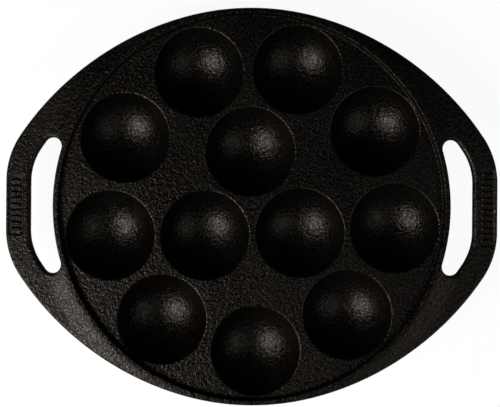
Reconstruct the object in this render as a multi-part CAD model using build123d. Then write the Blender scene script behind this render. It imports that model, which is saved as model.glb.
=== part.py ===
from build123d import *
import os
from math import atan2, cos, degrees, hypot, pi, radians, sin, sqrt, tan

# An aebleskiver pan of cast iron: a shallow round tray with twelve bowls sunk in its floor, inside
# a flange that widens into a loop handle at each end. The real pan is one casting. It is drawn here
# as the regions that a pattern maker would name, and they meet face to face inside the metal.
# Millimetres, +Z up, handles along X. The origin is under the middle, on what the pan stands on.

# Bowls
well_diameter = 54.4  # across a bowl where it meets the tray floor
well_depth = 24.0
well_wall = 3.0
well_base = 3.5  # iron under the middle of a bowl, down to its foot
outer_count = 9
inner_count = 3
outer_start = 70.0  # degrees from +X to the first bowl of the outer ring, then clockwise
inner_start = 90.0
pattern_turn = 1.8  # degrees that the bowls of this casting sit turned in the tray
outer_land = 6.35  # floor between two outer bowls
inner_land = 4.3  # floor between two inner bowls
lip_round = 1.1
foot_diameter = 16.0
foot_edge = 0.5
root_height = 2.0  # the flared root by which a bowl hangs from the plate
root_reach = 0.6

# Tray
plate_thickness = 5.0
wall_land = 1.6  # floor between the outer bowls and the foot of the wall
rim_height = 4.2
wall_draft = 16.0  # degrees from upright
wall_foot_round = 0.5
kerb_height = 1.4  # the wall stands on a low kerb of the plate
rim_width = 2.75  # flat top of the rim
rim_round = 0.6
skirt_inset = 1.6  # from the outside of the rim in to the edge of the plate
skirt_round = 0.8

# Flange and handles
waist_lip = 0.25  # flange outside the rim's flat top at the waist and beside the slots
slot_width = 14.1
slot_end_round = 5.6
grip_width = 15.1
grip_straight = 29.9
corner_radius = 50.8
crown_extra_radius = 31.9  # by how much the crown's arc is flatter than the flange's half width
crown_turn = 14.7  # degrees that the crown's arc turns each side of the middle
flange_thickness = 4.6
ramp_width = 11.0  # the flange first falls away from the rim as a ramp, then runs nearly level
ramp_slope = 13.0
ramp_foot_round = 30.0
grip_slope = 1.0
flange_round = 1.2
slot_round = 0.8
handle_gap = 1.0  # the handles start this far outside the rim

# Panels on the grips, with plain bars cast in them
panel_inset = 2.0
panel_width = 8.8
panel_depth = 0.7
panel_corner = 2.0
left_panel_length = 36.5
right_panel_length = 47.0
bar_pitch = 3.7
bar_width = 1.8
bar_length = 6.2

overrun = 5.0  # how far a cutting shape runs past what it cuts
touch = 0.01  # an edge this near to a line follows it
level_share = 0.5  # an edge that climbs less than this share of its length counts as level

well_radius = well_diameter / 2
outer_ring_radius = (well_diameter + outer_land) / 2 / sin(pi / outer_count)
inner_ring_radius = (well_diameter + inner_land) / 2 / sin(pi / inner_count)
bowl_radius = (well_radius**2 + well_depth**2) / (2 * well_depth)
shell_radius = bowl_radius + well_wall

floor_z = well_base + well_depth
plate_under_z = floor_z - plate_thickness
kerb_z = floor_z + kerb_height
rim_z = floor_z + rim_height
bowl_centre_z = well_base + bowl_radius

wall_lean = tan(radians(wall_draft))
tray_radius = outer_ring_radius + well_radius + wall_land
rim_inner_radius = tray_radius + rim_height * wall_lean
body_radius = rim_inner_radius + rim_width
skirt_radius = body_radius - skirt_inset

half_width = body_radius + waist_lip
half_length = half_width + slot_width + grip_width
crown_radius = half_width + crown_extra_radius
crown_centre = (0, half_width - crown_radius)
corner_centre = (half_length - corner_radius, grip_straight / 2)
reach = hypot(half_length, half_width)
ramp_foot_radius = body_radius + ramp_width
ramp_foot_z = rim_z - ramp_width * tan(radians(ramp_slope))
panel_x = half_length - panel_inset - panel_width / 2


def side_arc():
    """Centre and radius of the arc that touches the crown's arc and the corner's arc."""
    turn = radians(crown_turn)
    normal = (sin(turn), cos(turn))
    joint = [c + n * crown_radius for c, n in zip(crown_centre, normal)]
    way = [c - j for c, j in zip(corner_centre, joint)]
    along = way[0] * normal[0] + way[1] * normal[1]
    radius = (corner_radius**2 - way[0] ** 2 - way[1] ** 2) / (2 * (along + corner_radius))
    return [j - n * radius for j, n in zip(joint, normal)], radius


side_centre, side_radius = side_arc()


def outline(inset):
    """The flange's outline from above, drawn inset inside the real one."""
    crown_start = 90 - crown_turn
    way = [c - s for c, s in zip(corner_centre, side_centre)]
    side_start = degrees(atan2(way[1], way[0]))
    quarter = Curve() + [
        CenterArc(crown_centre, crown_radius - inset, crown_start, crown_turn),
        CenterArc(side_centre, side_radius - inset, side_start, crown_start - side_start),
        CenterArc(corner_centre, corner_radius - inset, 0, side_start),
        Line((half_length - inset, 0), (half_length - inset, corner_centre[1])),
    ]
    half = quarter + mirror(quarter, Plane.XZ)
    return make_face(half + mirror(half, Plane.YZ))


def right_slot():
    """The finger slot from above: between the rim and the grip, with round ends."""
    gaps = outline(grip_width) - Circle(half_width)
    slot = Sketch() + gaps.faces().sort_by(Axis.X)[-1]
    tips = slot.vertices().sort_by(Axis.Y)
    return fillet([tips[0], tips[-1]], slot_end_round)


def turned(corners):
    """A solid turned about Z from its half section, given as (radius, height, rounding) corners."""
    points = [(radius, height) for radius, height, _ in corners]
    roundings = [rounding for _, _, rounding in corners]
    section = make_face(FilletPolyline(*points, radius=roundings, close=True))
    return revolve(Plane.XZ * section, Axis.Z)


def upright(sketch):
    """A sketch made into a solid that runs from the ground past the top of the pan."""
    return extrude(sketch, rim_z + overrun)


def level_edges(solid, shape):
    """The edges of solid that follow the border of a flat shape, seen from above."""
    border = [wire for face in shape.faces() for wire in face.wires()]
    found = []
    for edge in solid.edges():
        middle = edge @ 0.5
        away = min(wire.distance_to(Vector(middle.X, middle.Y, 0)) for wire in border)
        if away < touch and abs((edge % 0.5).Z) < level_share:
            found.append(edge)
    return found


def ramp_top(radius):
    """Height of the ramp's upper face at a distance from the middle of the pan."""
    return rim_z - (radius - body_radius) * tan(radians(ramp_slope))


def grip_top(radius):
    """Height of the flange's upper face outside the ramp."""
    return ramp_foot_z - (radius - ramp_foot_radius) * tan(radians(grip_slope))


def grip_band(below, above):
    """A band that follows the grips' upper face, from below it to above it."""
    ends = ramp_foot_radius, reach
    low = [(radius, grip_top(radius) - below, 0) for radius in ends]
    high = [(radius, grip_top(radius) + above, 0) for radius in reversed(ends)]
    return turned(low + high)


def well_places():
    """Names and centres of the bowls: nine in the outer ring and three round the middle."""
    rings = (
        ("outer_well", outer_count, outer_ring_radius, outer_start),
        ("inner_well", inner_count, inner_ring_radius, inner_start),
    )
    places = {}
    for name, count, ring_radius, start in rings:
        for i in range(count):
            turn = radians(start + pattern_turn - i * 360 / count)
            places[f"{name}_{i + 1}"] = Vector(ring_radius * cos(turn), ring_radius * sin(turn))
    return places


def shell_width(height):
    """Radius of a bowl's outside at a height."""
    return sqrt(shell_radius**2 - (bowl_centre_z - height) ** 2)


def bowl():
    """One bowl at the origin: a spherical shell with a flat foot and a flared root."""
    foot_radius = foot_diameter / 2
    foot_top_z = bowl_centre_z - sqrt(shell_radius**2 - foot_radius**2)
    root_z = plate_under_z - root_height
    mouth = sqrt(bowl_radius**2 - (bowl_centre_z - plate_under_z) ** 2)
    toe = (shell_width(plate_under_z) + root_reach, plate_under_z)
    root = (shell_width(root_z), root_z)
    centre = (0, bowl_centre_z)

    def angle(radius, height):
        return degrees(atan2(height - bowl_centre_z, radius))

    foot_angle, root_angle = angle(foot_radius, foot_top_z), angle(*root)
    section = Curve() + [
        CenterArc(centre, bowl_radius, -90, 90 + angle(mouth, plate_under_z)),
        Line((mouth, plate_under_z), toe),
        TangentArc(root, toe, tangent=(bowl_centre_z - root_z, root[0])),
        CenterArc(centre, shell_radius, foot_angle, root_angle - foot_angle),
        Polyline((foot_radius, foot_top_z), (foot_radius, foot_edge), (foot_radius - foot_edge, 0), (0, 0)),
        Line((0, 0), (0, well_base)),
    ]
    return revolve(Plane.XZ * make_face(section), Axis.Z)


def wells():
    """All the bowls, each cut off halfway to its neighbours and at the edge of the plate."""
    places = well_places()
    block = 2 * reach
    plate_reach = Cylinder(skirt_radius - skirt_round, block)
    shapes = {}
    for name, centre in places.items():
        shape = Pos(centre) * bowl()
        for other, place in places.items():
            way = place - centre
            if other == name or way.length > 2 * (well_diameter + outer_land):
                continue
            turn = degrees(atan2(way.Y, way.X))
            shape -= Pos(centre) * Rot(0, 0, turn) * Pos((way.length + block) / 2, 0, 0) * Box(block, block, block)
        shapes[name] = shape & plate_reach
    return shapes


def floor_plate():
    """The tray's floor with its low kerb, bored for the bowls."""
    plate = turned(
        [
            (0, plate_under_z, 0),
            (skirt_radius, plate_under_z, skirt_round),
            (skirt_radius, kerb_z, 0),
            (tray_radius + kerb_height * wall_lean, kerb_z, 0),
            (tray_radius, floor_z, wall_foot_round),
            (0, floor_z, 0),
        ]
    )
    for centre in well_places().values():
        plate -= Pos(centre.X, centre.Y, bowl_centre_z) * Sphere(bowl_radius)
    lips = plate.edges().filter_by(GeomType.CIRCLE).filter_by_position(Axis.Z, floor_z - touch, floor_z + touch)
    return fillet([lip for lip in lips if lip.radius < bowl_radius], lip_round)


def flange():
    """The rim and both handles in one: a ramp and a level flange with a finger slot at each end."""
    ring = turned(
        [
            (tray_radius, kerb_z, 0),
            (tray_radius, ramp_top(tray_radius), 0),
            (ramp_foot_radius, ramp_foot_z, ramp_foot_round),
            (reach, grip_top(reach), 0),
            (reach, grip_top(reach) - flange_thickness, 0),
            (ramp_foot_radius, ramp_foot_z - flange_thickness, ramp_foot_round),
            (skirt_radius, ramp_top(skirt_radius) - flange_thickness, 0),
            (skirt_radius, kerb_z, 0),
        ]
    )
    solid = ring & upright(outline(0))
    solid = fillet(level_edges(solid, outline(0)), flange_round)
    slot = right_slot()
    slots = slot + mirror(slot, Plane.YZ)
    solid -= upright(slots)
    solid = fillet(level_edges(solid, slots), slot_round)
    wall_and_top = turned(
        [
            (tray_radius, floor_z, 0),
            (rim_inner_radius, rim_z, rim_round),
            (reach, rim_z, 0),
            (reach, 0, 0),
            (tray_radius, 0, 0),
        ]
    )
    return solid & wall_and_top


def panel(length):
    """The right grip's panel from above."""
    return Pos(panel_x, 0) * RectangleRounded(panel_width, length, panel_corner)


def bars(length):
    """The right grip's bars: plain raised bars across the panel, level with the grip round them."""
    row = GridLocations(bar_pitch, bar_pitch, 1, int(length / bar_pitch))
    sketch = Sketch() + [Pos(panel_x, 0) * place * SlotOverall(bar_length, bar_width) for place in row]
    return upright(sketch) & grip_band(panel_depth, 0)


def handles_and_rim():
    """The flange cut where the handles start, with the panel sunk in each grip."""
    whole = flange()
    block = 2 * reach
    start = body_radius + handle_gap
    right_side = Pos(start + block / 2, 0, 0) * Box(block, block, block)
    left_side = mirror(right_side, Plane.YZ)
    sunk = grip_band(panel_depth, overrun)
    right_panel = upright(panel(right_panel_length)) & sunk
    left_panel = mirror(upright(panel(left_panel_length)) & sunk, Plane.YZ)
    return {
        "rim_flange": whole - right_side - left_side,
        "right_handle": (whole & right_side) - right_panel,
        "left_handle": (whole & left_side) - left_panel,
        "right_grip_bars": bars(right_panel_length),
        "left_grip_bars": mirror(bars(left_panel_length), Plane.YZ),
    }


os.makedirs("parts", exist_ok=True)
nodes = {"floor_plate": floor_plate(), **handles_and_rim(), **wells()}
for node, shape in nodes.items():
    export_step(shape, f"parts/{node}.step")
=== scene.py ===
import math

import bmesh
import bpy
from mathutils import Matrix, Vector, geometry, kdtree


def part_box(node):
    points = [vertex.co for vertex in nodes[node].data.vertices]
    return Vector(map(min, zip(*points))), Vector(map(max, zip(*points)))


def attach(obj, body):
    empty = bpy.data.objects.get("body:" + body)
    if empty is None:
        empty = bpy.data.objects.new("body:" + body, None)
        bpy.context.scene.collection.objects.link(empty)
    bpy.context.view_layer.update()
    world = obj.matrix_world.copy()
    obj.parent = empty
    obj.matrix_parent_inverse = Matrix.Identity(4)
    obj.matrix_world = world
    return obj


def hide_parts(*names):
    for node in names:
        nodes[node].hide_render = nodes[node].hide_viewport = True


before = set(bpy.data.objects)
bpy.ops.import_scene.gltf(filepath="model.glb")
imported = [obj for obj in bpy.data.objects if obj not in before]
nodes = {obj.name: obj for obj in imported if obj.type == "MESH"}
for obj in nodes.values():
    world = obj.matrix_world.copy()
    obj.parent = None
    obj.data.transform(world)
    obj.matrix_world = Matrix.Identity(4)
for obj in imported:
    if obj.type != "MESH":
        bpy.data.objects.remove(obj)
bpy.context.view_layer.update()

# The tray and its bowls: a flat iron plate with a low kerb, bored for twelve hanging bowls.
# It is sand cast and then seasoned, so it is a warm black and grainy. The tips of the grain are
# worn glossier than the pits between them, and the flange outside the rim is a little duller.
tray_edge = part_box("floor_plate")[1][0]
pebble_scale = 480
grain_scale = 1100
worn_scale = 800
patch_scale = 22
grain_depth = 0.0005
grain_share = 0.5
worn_roughness = 0.10
pit_roughness = 0.46
patch_roughness = 0.05
flange_roughness = 0.05
duller_over = 0.002  # width over which the flange's finish takes over from the tray's
dark_iron = (0.0010, 0.0007, 0.0005, 1)
warm_iron = (0.0022, 0.0017, 0.0013, 1)
oil_tint = (1, 0.88, 0.76, 1)
oil_ior = 1.5
oil_gloss = 0.15


def seasoned_iron(name):
    """Seasoned cast iron: a thin oil coat over the grain that the mould's sand leaves."""
    iron = bpy.data.materials.new(name)
    iron.use_nodes = True
    tree = iron.node_tree
    tree.nodes.clear()

    def node(kind, **settings):
        made = tree.nodes.new(kind)
        for key, value in settings.items():
            setattr(made, key, value)
        return made

    def link(source, target):
        tree.links.new(source, target)

    def noise(scale, detail, roughness):
        made = node("ShaderNodeTexNoise")
        made.inputs["Scale"].default_value = scale
        made.inputs["Detail"].default_value = detail
        made.inputs["Roughness"].default_value = roughness
        link(place.outputs["Object"], made.inputs["Vector"])
        return made.outputs["Fac"]

    def ramp(source, low, high, from_low, from_high):
        made = node("ShaderNodeMapRange", interpolation_type="SMOOTHSTEP")
        made.inputs["From Min"].default_value = from_low
        made.inputs["From Max"].default_value = from_high
        made.inputs["To Min"].default_value = low
        made.inputs["To Max"].default_value = high
        link(source, made.inputs["Value"])
        return made.outputs["Result"]

    def combined(first, second, operation="ADD"):
        made = node("ShaderNodeMath", operation=operation)
        for socket, value in zip(made.inputs, (first, second)):
            if isinstance(value, (int, float)):
                socket.default_value = value
            else:
                link(value, socket)
        return made.outputs[0]

    place = node("ShaderNodeTexCoord")
    split = node("ShaderNodeSeparateXYZ")
    link(place.outputs["Object"], split.inputs[0])
    across = combined(split.outputs["X"], split.outputs["X"], "MULTIPLY")
    along = combined(split.outputs["Y"], split.outputs["Y"], "MULTIPLY")
    radius = combined(combined(across, along), 0.5, "POWER")
    outside = ramp(radius, 0.0, flange_roughness, tray_edge, tray_edge + duller_over)

    grain = noise(grain_scale, 2.0, 0.6)
    pebble = noise(pebble_scale, 2.0, 0.5)
    patches = noise(patch_scale, 4.0, 0.6)
    worn = ramp(noise(worn_scale, 1.0, 0.5), pit_roughness, worn_roughness, 0.36, 0.64)
    height = combined(combined(grain, grain_share, "MULTIPLY"), pebble)

    shader = node("ShaderNodeBsdfPrincipled")
    colour = node("ShaderNodeMix", data_type="RGBA")
    colour.inputs["A"].default_value = dark_iron
    colour.inputs["B"].default_value = warm_iron
    link(ramp(patches, 0.1, 0.9, 0.35, 0.65), colour.inputs["Factor"])
    link(colour.outputs["Result"], shader.inputs["Base Color"])
    uneven = ramp(patches, 0.0, patch_roughness, 0.35, 0.65)
    link(combined(combined(uneven, outside), worn), shader.inputs["Roughness"])
    shader.inputs["IOR"].default_value = oil_ior
    shader.inputs["Specular IOR Level"].default_value = oil_gloss
    shader.inputs["Specular Tint"].default_value = oil_tint

    bump = node("ShaderNodeBump")
    bump.inputs["Strength"].default_value = 1.0
    bump.inputs["Distance"].default_value = grain_depth
    link(height, bump.inputs["Height"])
    link(bump.outputs["Normal"], shader.inputs["Normal"])
    out = node("ShaderNodeOutputMaterial")
    link(shader.outputs[0], out.inputs["Surface"])
    return iron


iron = seasoned_iron("seasoned_iron")
for piece in nodes.values():
    for material in piece.material_slots:
        material.material = iron

# The flange: the rim, the ramp outside it and both loop handles, one stretch of the iron casting.
# It is built from its plan. Loops of points follow the edges, and triangles fill the faces between
# them. The sand leaves small roundings outside and wide ones where fingers take the grips.
rim_width = 0.00275
wall_draft = math.radians(16)
rim_round = 0.0006
skirt_inset = 0.0016
grip_width = 0.0151
grip_straight = 0.0299
slot_end_round = 0.0056
corner_radius = 0.0508
crown_extra_radius = 0.0319
crown_turn = math.radians(14.7)
flange_thickness = 0.0046
ramp_width = 0.011
ramp_slope = math.radians(13)
grip_slope = math.radians(1)
bend = 0.0006
edge_round = 0.0012
rim_side_round = 0.0005
grip_side_round = 0.0027
under_round = 0.0009
panel_inset = 0.002
panel_width = 0.0088
panel_depth = 0.0007
panel_corner = 0.002
panel_edge = 0.0009
left_panel_length = 0.0365
right_panel_length = 0.047
bar_pitch = 0.0037
bar_width = 0.0018
bar_length = 0.0062
spacing = 0.0008
fine_spacing = 0.0003
top_steps = 6  # flats in the rounding of an upper edge, of a lower edge and of the rim's lip
under_steps = 4
lip_steps = 5
same_place = 1e-7
sharp_from = math.radians(40)

rim_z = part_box("rim_flange")[1][2]
half_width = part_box("rim_flange")[1][1]
half_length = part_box("right_handle")[1][0]
kerb_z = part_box("floor_plate")[1][2]
body_radius = tray_edge + skirt_inset
rim_inner_radius = body_radius - rim_width
ramp_foot_radius = body_radius + ramp_width
panel_x = half_length - panel_inset - panel_width / 2


def higher(first, second, softness):
    """The larger of two heights, with a soft bend where they cross."""
    return (first + second + math.hypot(first - second, softness)) / 2


def upper(radius):
    """Height of the ramp and of the nearly level flange outside it."""
    ramp = rim_z - (radius - body_radius) * math.tan(ramp_slope)
    foot = rim_z - ramp_width * math.tan(ramp_slope)
    level = foot - (radius - ramp_foot_radius) * math.tan(grip_slope)
    return higher(ramp, level, bend)


def soft_step(share):
    """0 below -1/2, 1 above 1/2, and a smooth rise between."""
    share = min(max(share + 0.5, 0), 1)
    return share * share * (3 - 2 * share)


def sunk(place):
    """How far the panels on the grips lie below the face round them, less the bars in them."""
    length = right_panel_length if place.x > 0 else left_panel_length
    across, along = abs(abs(place.x) - panel_x), abs(place.y)
    past = Vector((across - panel_width / 2 + panel_corner, along - length / 2 + panel_corner))
    outside = math.hypot(max(past.x, 0), max(past.y, 0)) + min(max(past), 0) - panel_corner
    count = int(length / bar_pitch)
    bar = min(max(round(place.y / bar_pitch + (count - 1) / 2), 0), count - 1)
    bar_y = (bar - (count - 1) / 2) * bar_pitch
    bar_past = max(across - (bar_length - bar_width) / 2, 0)
    bar_outside = math.hypot(bar_past, place.y - bar_y) - bar_width / 2
    return panel_depth * (soft_step(-outside / panel_edge) - soft_step(-bar_outside / panel_edge))


def top(place):
    """Height of the upper face: level on the rim, then the ramp, then the nearly level grips."""
    return -higher(-upper(place.length), -rim_z, bend / 4) - sunk(place)


def under(place):
    """Height of the underside."""
    return upper(place.length) - flange_thickness


def arc(centre, radius, start, end, side, rounds):
    """Points along an edge: place, direction into the iron (side 1 is away from centre), rounding."""
    count = max(2, round(abs(end - start) * radius / spacing))
    points = []
    for i in range(count):
        turn = start + (end - start) * i / count
        way = Vector((math.cos(turn), math.sin(turn)))
        rounding = rounds[0] + (rounds[1] - rounds[0]) * soft_step(i / count - 0.5)
        points.append((centre + way * radius, way * side, rounding))
    return points


def straight(start, end, way, rounding):
    """Points along a straight edge, as for an arc."""
    count = max(2, round((end - start).length / spacing))
    return [(start.lerp(end, i / count), way, rounding) for i in range(count)]


def closed(half, last, flip):
    """A run of edge points, then its last one, then its mirror image back to the start."""
    back = [(place * flip, way * flip, rounding) for place, way, rounding in half[:0:-1]]
    return half + [last] + back


def angle(way):
    """The turn of a direction from +X."""
    return math.atan2(way.y, way.x)


middle = Vector((0, 0))
over_x, over_y = Vector((-1, 1)), Vector((1, -1))
crown_radius = half_width + crown_extra_radius
crown_centre = Vector((0, -crown_extra_radius))
corner_centre = Vector((half_length - corner_radius, grip_straight / 2))
crown_end = math.pi / 2 - crown_turn
crown_way = Vector((math.cos(crown_end), math.sin(crown_end)))
joint = crown_centre + crown_way * crown_radius
gap = corner_centre - joint
side_radius = (corner_radius**2 - gap.length_squared) / 2 / (gap.dot(crown_way) + corner_radius)
side_centre = joint - crown_way * side_radius
corner_end = angle(corner_centre - side_centre)

rounds = edge_round, edge_round
grip_middle, grip_end = Vector((half_length, 0)), Vector((half_length, corner_centre.y))
quarter = straight(grip_middle, grip_end, Vector((-1, 0)), edge_round)
quarter += arc(corner_centre, corner_radius, 0, corner_end, -1, rounds)
quarter += arc(side_centre, side_radius, corner_end, crown_end, -1, rounds)
quarter += arc(crown_centre, crown_radius, crown_end, math.pi / 2, -1, rounds)
half = closed(quarter, (Vector((0, half_width)), Vector((0, -1)), edge_round), over_x)
outline = closed(half, (Vector((-half_length, 0)), Vector((1, 0)), edge_round), over_y)

# A slot's round end touches the circle round the rim and the side of the grip.
rim_reach = half_width + slot_end_round
grip_reach = side_radius - grip_width - slot_end_round
apart = side_centre.length
along = (rim_reach**2 - grip_reach**2 + apart**2) / (2 * apart)
across = math.sqrt(rim_reach**2 - along**2)
way = side_centre.normalized()
end_centre = way * along + Vector((-way.y, way.x)) * across
end_start, end_stop = angle(end_centre) + math.pi, angle(end_centre - side_centre)
wide = grip_side_round, grip_side_round
grip_line = half_length - grip_width
line_end, line_middle = Vector((grip_line, corner_centre.y)), Vector((grip_line, 0))
half = arc(middle, half_width, 0, angle(end_centre), -1, (rim_side_round, rim_side_round))
half += arc(end_centre, slot_end_round, end_start, end_stop, 1, (rim_side_round, grip_side_round))
half += arc(side_centre, side_radius - grip_width, end_stop, corner_end, 1, wide)
half += arc(corner_centre, corner_radius - grip_width, corner_end, 0, 1, wide)
half += straight(line_end, line_middle, Vector((1, 0)), grip_side_round)
right_slot = closed(half, (line_middle, Vector((1, 0)), grip_side_round), over_y)
left_slot = [(place * over_x, way * over_x, rounding) for place, way, rounding in right_slot]

corners, faces = [], []


def row_of(points):
    """Adds a loop of corners and returns their numbers."""
    first = len(corners)
    corners.extend(points)
    return list(range(first, len(corners)))


def join(rows):
    """Faces between rows of equal length."""
    for upper_row, lower_row in zip(rows, rows[1:]):
        for i in range(len(upper_row)):
            faces.append((upper_row[i - 1], upper_row[i], lower_row[i], lower_row[i - 1]))


def edge_rows(edge):
    """The rows that round an edge over, from its upper face down its side to its underside."""
    rows = []
    for i in range(top_steps + 1):
        turn = math.pi / 2 * i / top_steps
        inward, down = 1 - math.sin(turn), 1 - math.cos(turn)
        spots = [(place + way * rounding * inward, rounding) for place, way, rounding in edge]
        rows.append(row_of([(*spot, top(spot) - rounding * down) for spot, rounding in spots]))
    for i in range(under_steps + 1):
        turn = math.pi / 2 * (1 - i / under_steps)
        inward, up = 1 - math.sin(turn), 1 - math.cos(turn)
        spots = [place + way * under_round * inward for place, way, _ in edge]
        rows.append(row_of([(*spot, under(spot) + under_round * up) for spot in spots]))
    join(rows)
    return rows


def circle(radius, height):
    """A row of corners round the middle."""
    count = round(math.tau * body_radius / spacing)
    turns = [math.tau * i / count for i in range(count)]
    return row_of([(radius * math.cos(turn), radius * math.sin(turn), height) for turn in turns])


def fill(loops, spots, height):
    """Triangles between loops of corners, through the spots that lie in the iron clear of them."""
    border = [(number, way) for row, ways in loops for number, way in zip(row, ways)]
    tree = kdtree.KDTree(len(border))
    for i, (number, _) in enumerate(border):
        tree.insert((*corners[number][:2], 0), i)
    tree.balance()

    def depth(spot):
        place, i, _ = tree.find((*spot, 0))
        return (spot - place.xy).dot(border[i][1])

    inner = [spot for spot in spots if depth(spot) > spacing / 2]
    flat = [Vector(corners[number][:2]) for number, _ in border] + inner
    numbers = [number for number, _ in border] + row_of([(*spot, height(spot)) for spot in inner])
    edges, first = [], 0
    for row, _ in loops:
        edges += [(first + i - 1 if i else first + len(row) - 1, first + i) for i in range(len(row))]
        first += len(row)
    places, _, triangles, origins, _, _ = geometry.delaunay_2d_cdt(flat, edges, [], 0, same_place)
    for triangle in triangles:
        if depth(sum((places[i] for i in triangle), Vector((0, 0))) / 3) > 0:
            faces.append([numbers[origins[i][0]] for i in triangle])


lip_radius = rim_inner_radius + rim_round * math.tan(math.pi / 4 - wall_draft / 2)
wall_rows = []
for i in range(lip_steps + 1):
    turn = (math.pi / 2 - wall_draft) * i / lip_steps
    lean = lip_radius - rim_round * math.sin(turn)
    wall_rows.append(circle(lean, rim_z - rim_round * (1 - math.cos(turn))))
wall_rows.append(circle(rim_inner_radius - (rim_z - kerb_z) * math.tan(wall_draft), kerb_z))
wall_rows.append(circle(tray_edge, kerb_z))
wall_rows.append(circle(tray_edge, under(Vector((tray_edge, 0)))))
join(wall_rows)

edges = [(edge, edge_rows(edge)) for edge in (outline, right_slot, left_slot)]
outwards = [Vector(corners[number][:2]).normalized() for number in wall_rows[0]]
upper_loops = [(rows[0], [way for _, way, _ in edge]) for edge, rows in edges]
lower_loops = [(rows[-1], [way for _, way, _ in edge]) for edge, rows in edges]
upper_loops.append((wall_rows[0], outwards))
lower_loops.append((wall_rows[-1], outwards))

panel_reach = Vector((panel_width, right_panel_length)) / 2 + Vector((panel_edge, panel_edge))
spots, radius = [], lip_radius
while radius < math.hypot(half_length, half_width):
    bend_away = min(abs(radius - body_radius), abs(radius - ramp_foot_radius))
    radius += min(max(bend_away / 3, fine_spacing), 2 * spacing)
    count = round(math.tau * radius / (2 * spacing))
    turns = [math.tau * (i + radius / spacing % 1) / count for i in range(count)]
    ring = [Vector((math.cos(turn), math.sin(turn))) * radius for turn in turns]
    for spot in ring:
        if abs(abs(spot.x) - panel_x) > panel_reach.x or abs(spot.y) > panel_reach.y:
            spots.append(spot)
columns, lines = [int(reach / fine_spacing) for reach in panel_reach]
for side in (-1, 1):
    for i in range(-columns, columns + 1):
        for j in range(-lines, lines + 1):
            spots.append(Vector((side * (panel_x + i * fine_spacing), j * fine_spacing)))
fill(upper_loops, spots, top)
fill(lower_loops, [spot for spot in spots if abs(abs(spot.x) - panel_x) > panel_reach.x][::3], under)

mesh = bpy.data.meshes.new("flange")
mesh.from_pydata(corners, [], faces)
shape = bmesh.new()
shape.from_mesh(mesh)
bmesh.ops.recalc_face_normals(shape, faces=shape.faces)
shape.to_mesh(mesh)
shape.free()
mesh.shade_smooth()
mesh.set_sharp_from_angle(angle=sharp_from)
mesh.materials.append(iron)
flange = bpy.data.objects.new("flange", mesh)
bpy.context.scene.collection.objects.link(flange)
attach(flange, "root")
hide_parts("rim_flange", "right_handle", "left_handle", "right_grip_bars", "left_grip_bars")

# What the pan stands on: a plain pale sheet, which takes its shadow.
floor_half = 3.0
pale = (0.9, 0.9, 0.9, 1)
white_share = 0.94  # how far the sheet is seen as plain white; the rest takes the shadow
floor_mesh = bpy.data.meshes.new("sheet")
ways = [(-1, -1), (1, -1), (1, 1), (-1, 1)]
floor_mesh.from_pydata([(x * floor_half, y * floor_half, 0) for x, y in ways], [], [(0, 1, 2, 3)])
sheet = bpy.data.objects.new("sheet", floor_mesh)
bpy.context.scene.collection.objects.link(sheet)
paper = bpy.data.materials.new("paper")
paper.use_nodes = True
tree = paper.node_tree
tree.nodes.clear()
diffuse = tree.nodes.new("ShaderNodeBsdfDiffuse")
diffuse.inputs["Color"].default_value = pale
glow = tree.nodes.new("ShaderNodeEmission")
seen = tree.nodes.new("ShaderNodeLightPath")
share = tree.nodes.new("ShaderNodeMath")
share.operation = "MULTIPLY"
share.inputs[1].default_value = white_share
mix = tree.nodes.new("ShaderNodeMixShader")
out = tree.nodes.new("ShaderNodeOutputMaterial")
tree.links.new(seen.outputs["Is Camera Ray"], share.inputs[0])
tree.links.new(share.outputs[0], mix.inputs[0])
tree.links.new(diffuse.outputs[0], mix.inputs[1])
tree.links.new(glow.outputs[0], mix.inputs[2])
tree.links.new(mix.outputs[0], out.inputs[0])
sheet.data.materials.append(paper)

# Light: a soft box from the front left, a weaker one from the front right and a dim room.
# Both are small for their distance, so that the grain of the iron sparkles.
def soft_box(name, turn, height, distance, size, power):
    """A square lamp that faces the middle of the pan."""
    lamp = bpy.data.lights.new(name, "AREA")
    lamp.shape = "SQUARE"
    lamp.size = size
    lamp.energy = power
    box = bpy.data.objects.new(name, lamp)
    turn, height = math.radians(turn), math.radians(height)
    level = math.cos(height) * distance
    box.location = (level * math.cos(turn), level * math.sin(turn), math.sin(height) * distance)
    box.rotation_euler = box.location.to_track_quat("Z", "Y").to_euler()
    bpy.context.scene.collection.objects.link(box)


soft_box("key", turn=215, height=44, distance=1.0, size=0.4, power=13.6)
soft_box("fill", turn=333, height=38, distance=1.1, size=0.6, power=3.2)

room_strength = 0.03
world = bpy.data.worlds.new("room")
bpy.context.scene.world = world
world.use_nodes = True
tree = world.node_tree
tree.nodes.clear()
dim = tree.nodes.new("ShaderNodeBackground")
dim.inputs["Strength"].default_value = room_strength
white = tree.nodes.new("ShaderNodeBackground")
white.inputs["Color"].default_value = (1, 1, 1, 1)
seen = tree.nodes.new("ShaderNodeLightPath")
mix = tree.nodes.new("ShaderNodeMixShader")
out = tree.nodes.new("ShaderNodeOutputWorld")
tree.links.new(seen.outputs["Is Camera Ray"], mix.inputs[0])
tree.links.new(dim.outputs[0], mix.inputs[1])
tree.links.new(white.outputs[0], mix.inputs[2])
tree.links.new(mix.outputs[0], out.inputs[0])

# The camera looks straight down from over the middle, as the photograph was taken.
pixel = 0.0006114
pan_x, pan_y = 251.75, 206.55
frame_width, frame_height = 500, 407
camera_height = 0.70
view = bpy.data.cameras.new("overhead")
view.sensor_width = 36
view.lens = view.sensor_width * camera_height / (frame_width * pixel)
overhead = bpy.data.objects.new("overhead", view)
overhead.location = (
    (frame_width / 2 - pan_x) * pixel,
    (pan_y - frame_height / 2) * pixel,
    rim_z + camera_height,
)
overhead.rotation_euler.z = math.radians(0.4)
bpy.context.scene.collection.objects.link(overhead)
bpy.context.scene.camera = overhead
bpy.context.scene.view_settings.view_transform = "Standard"
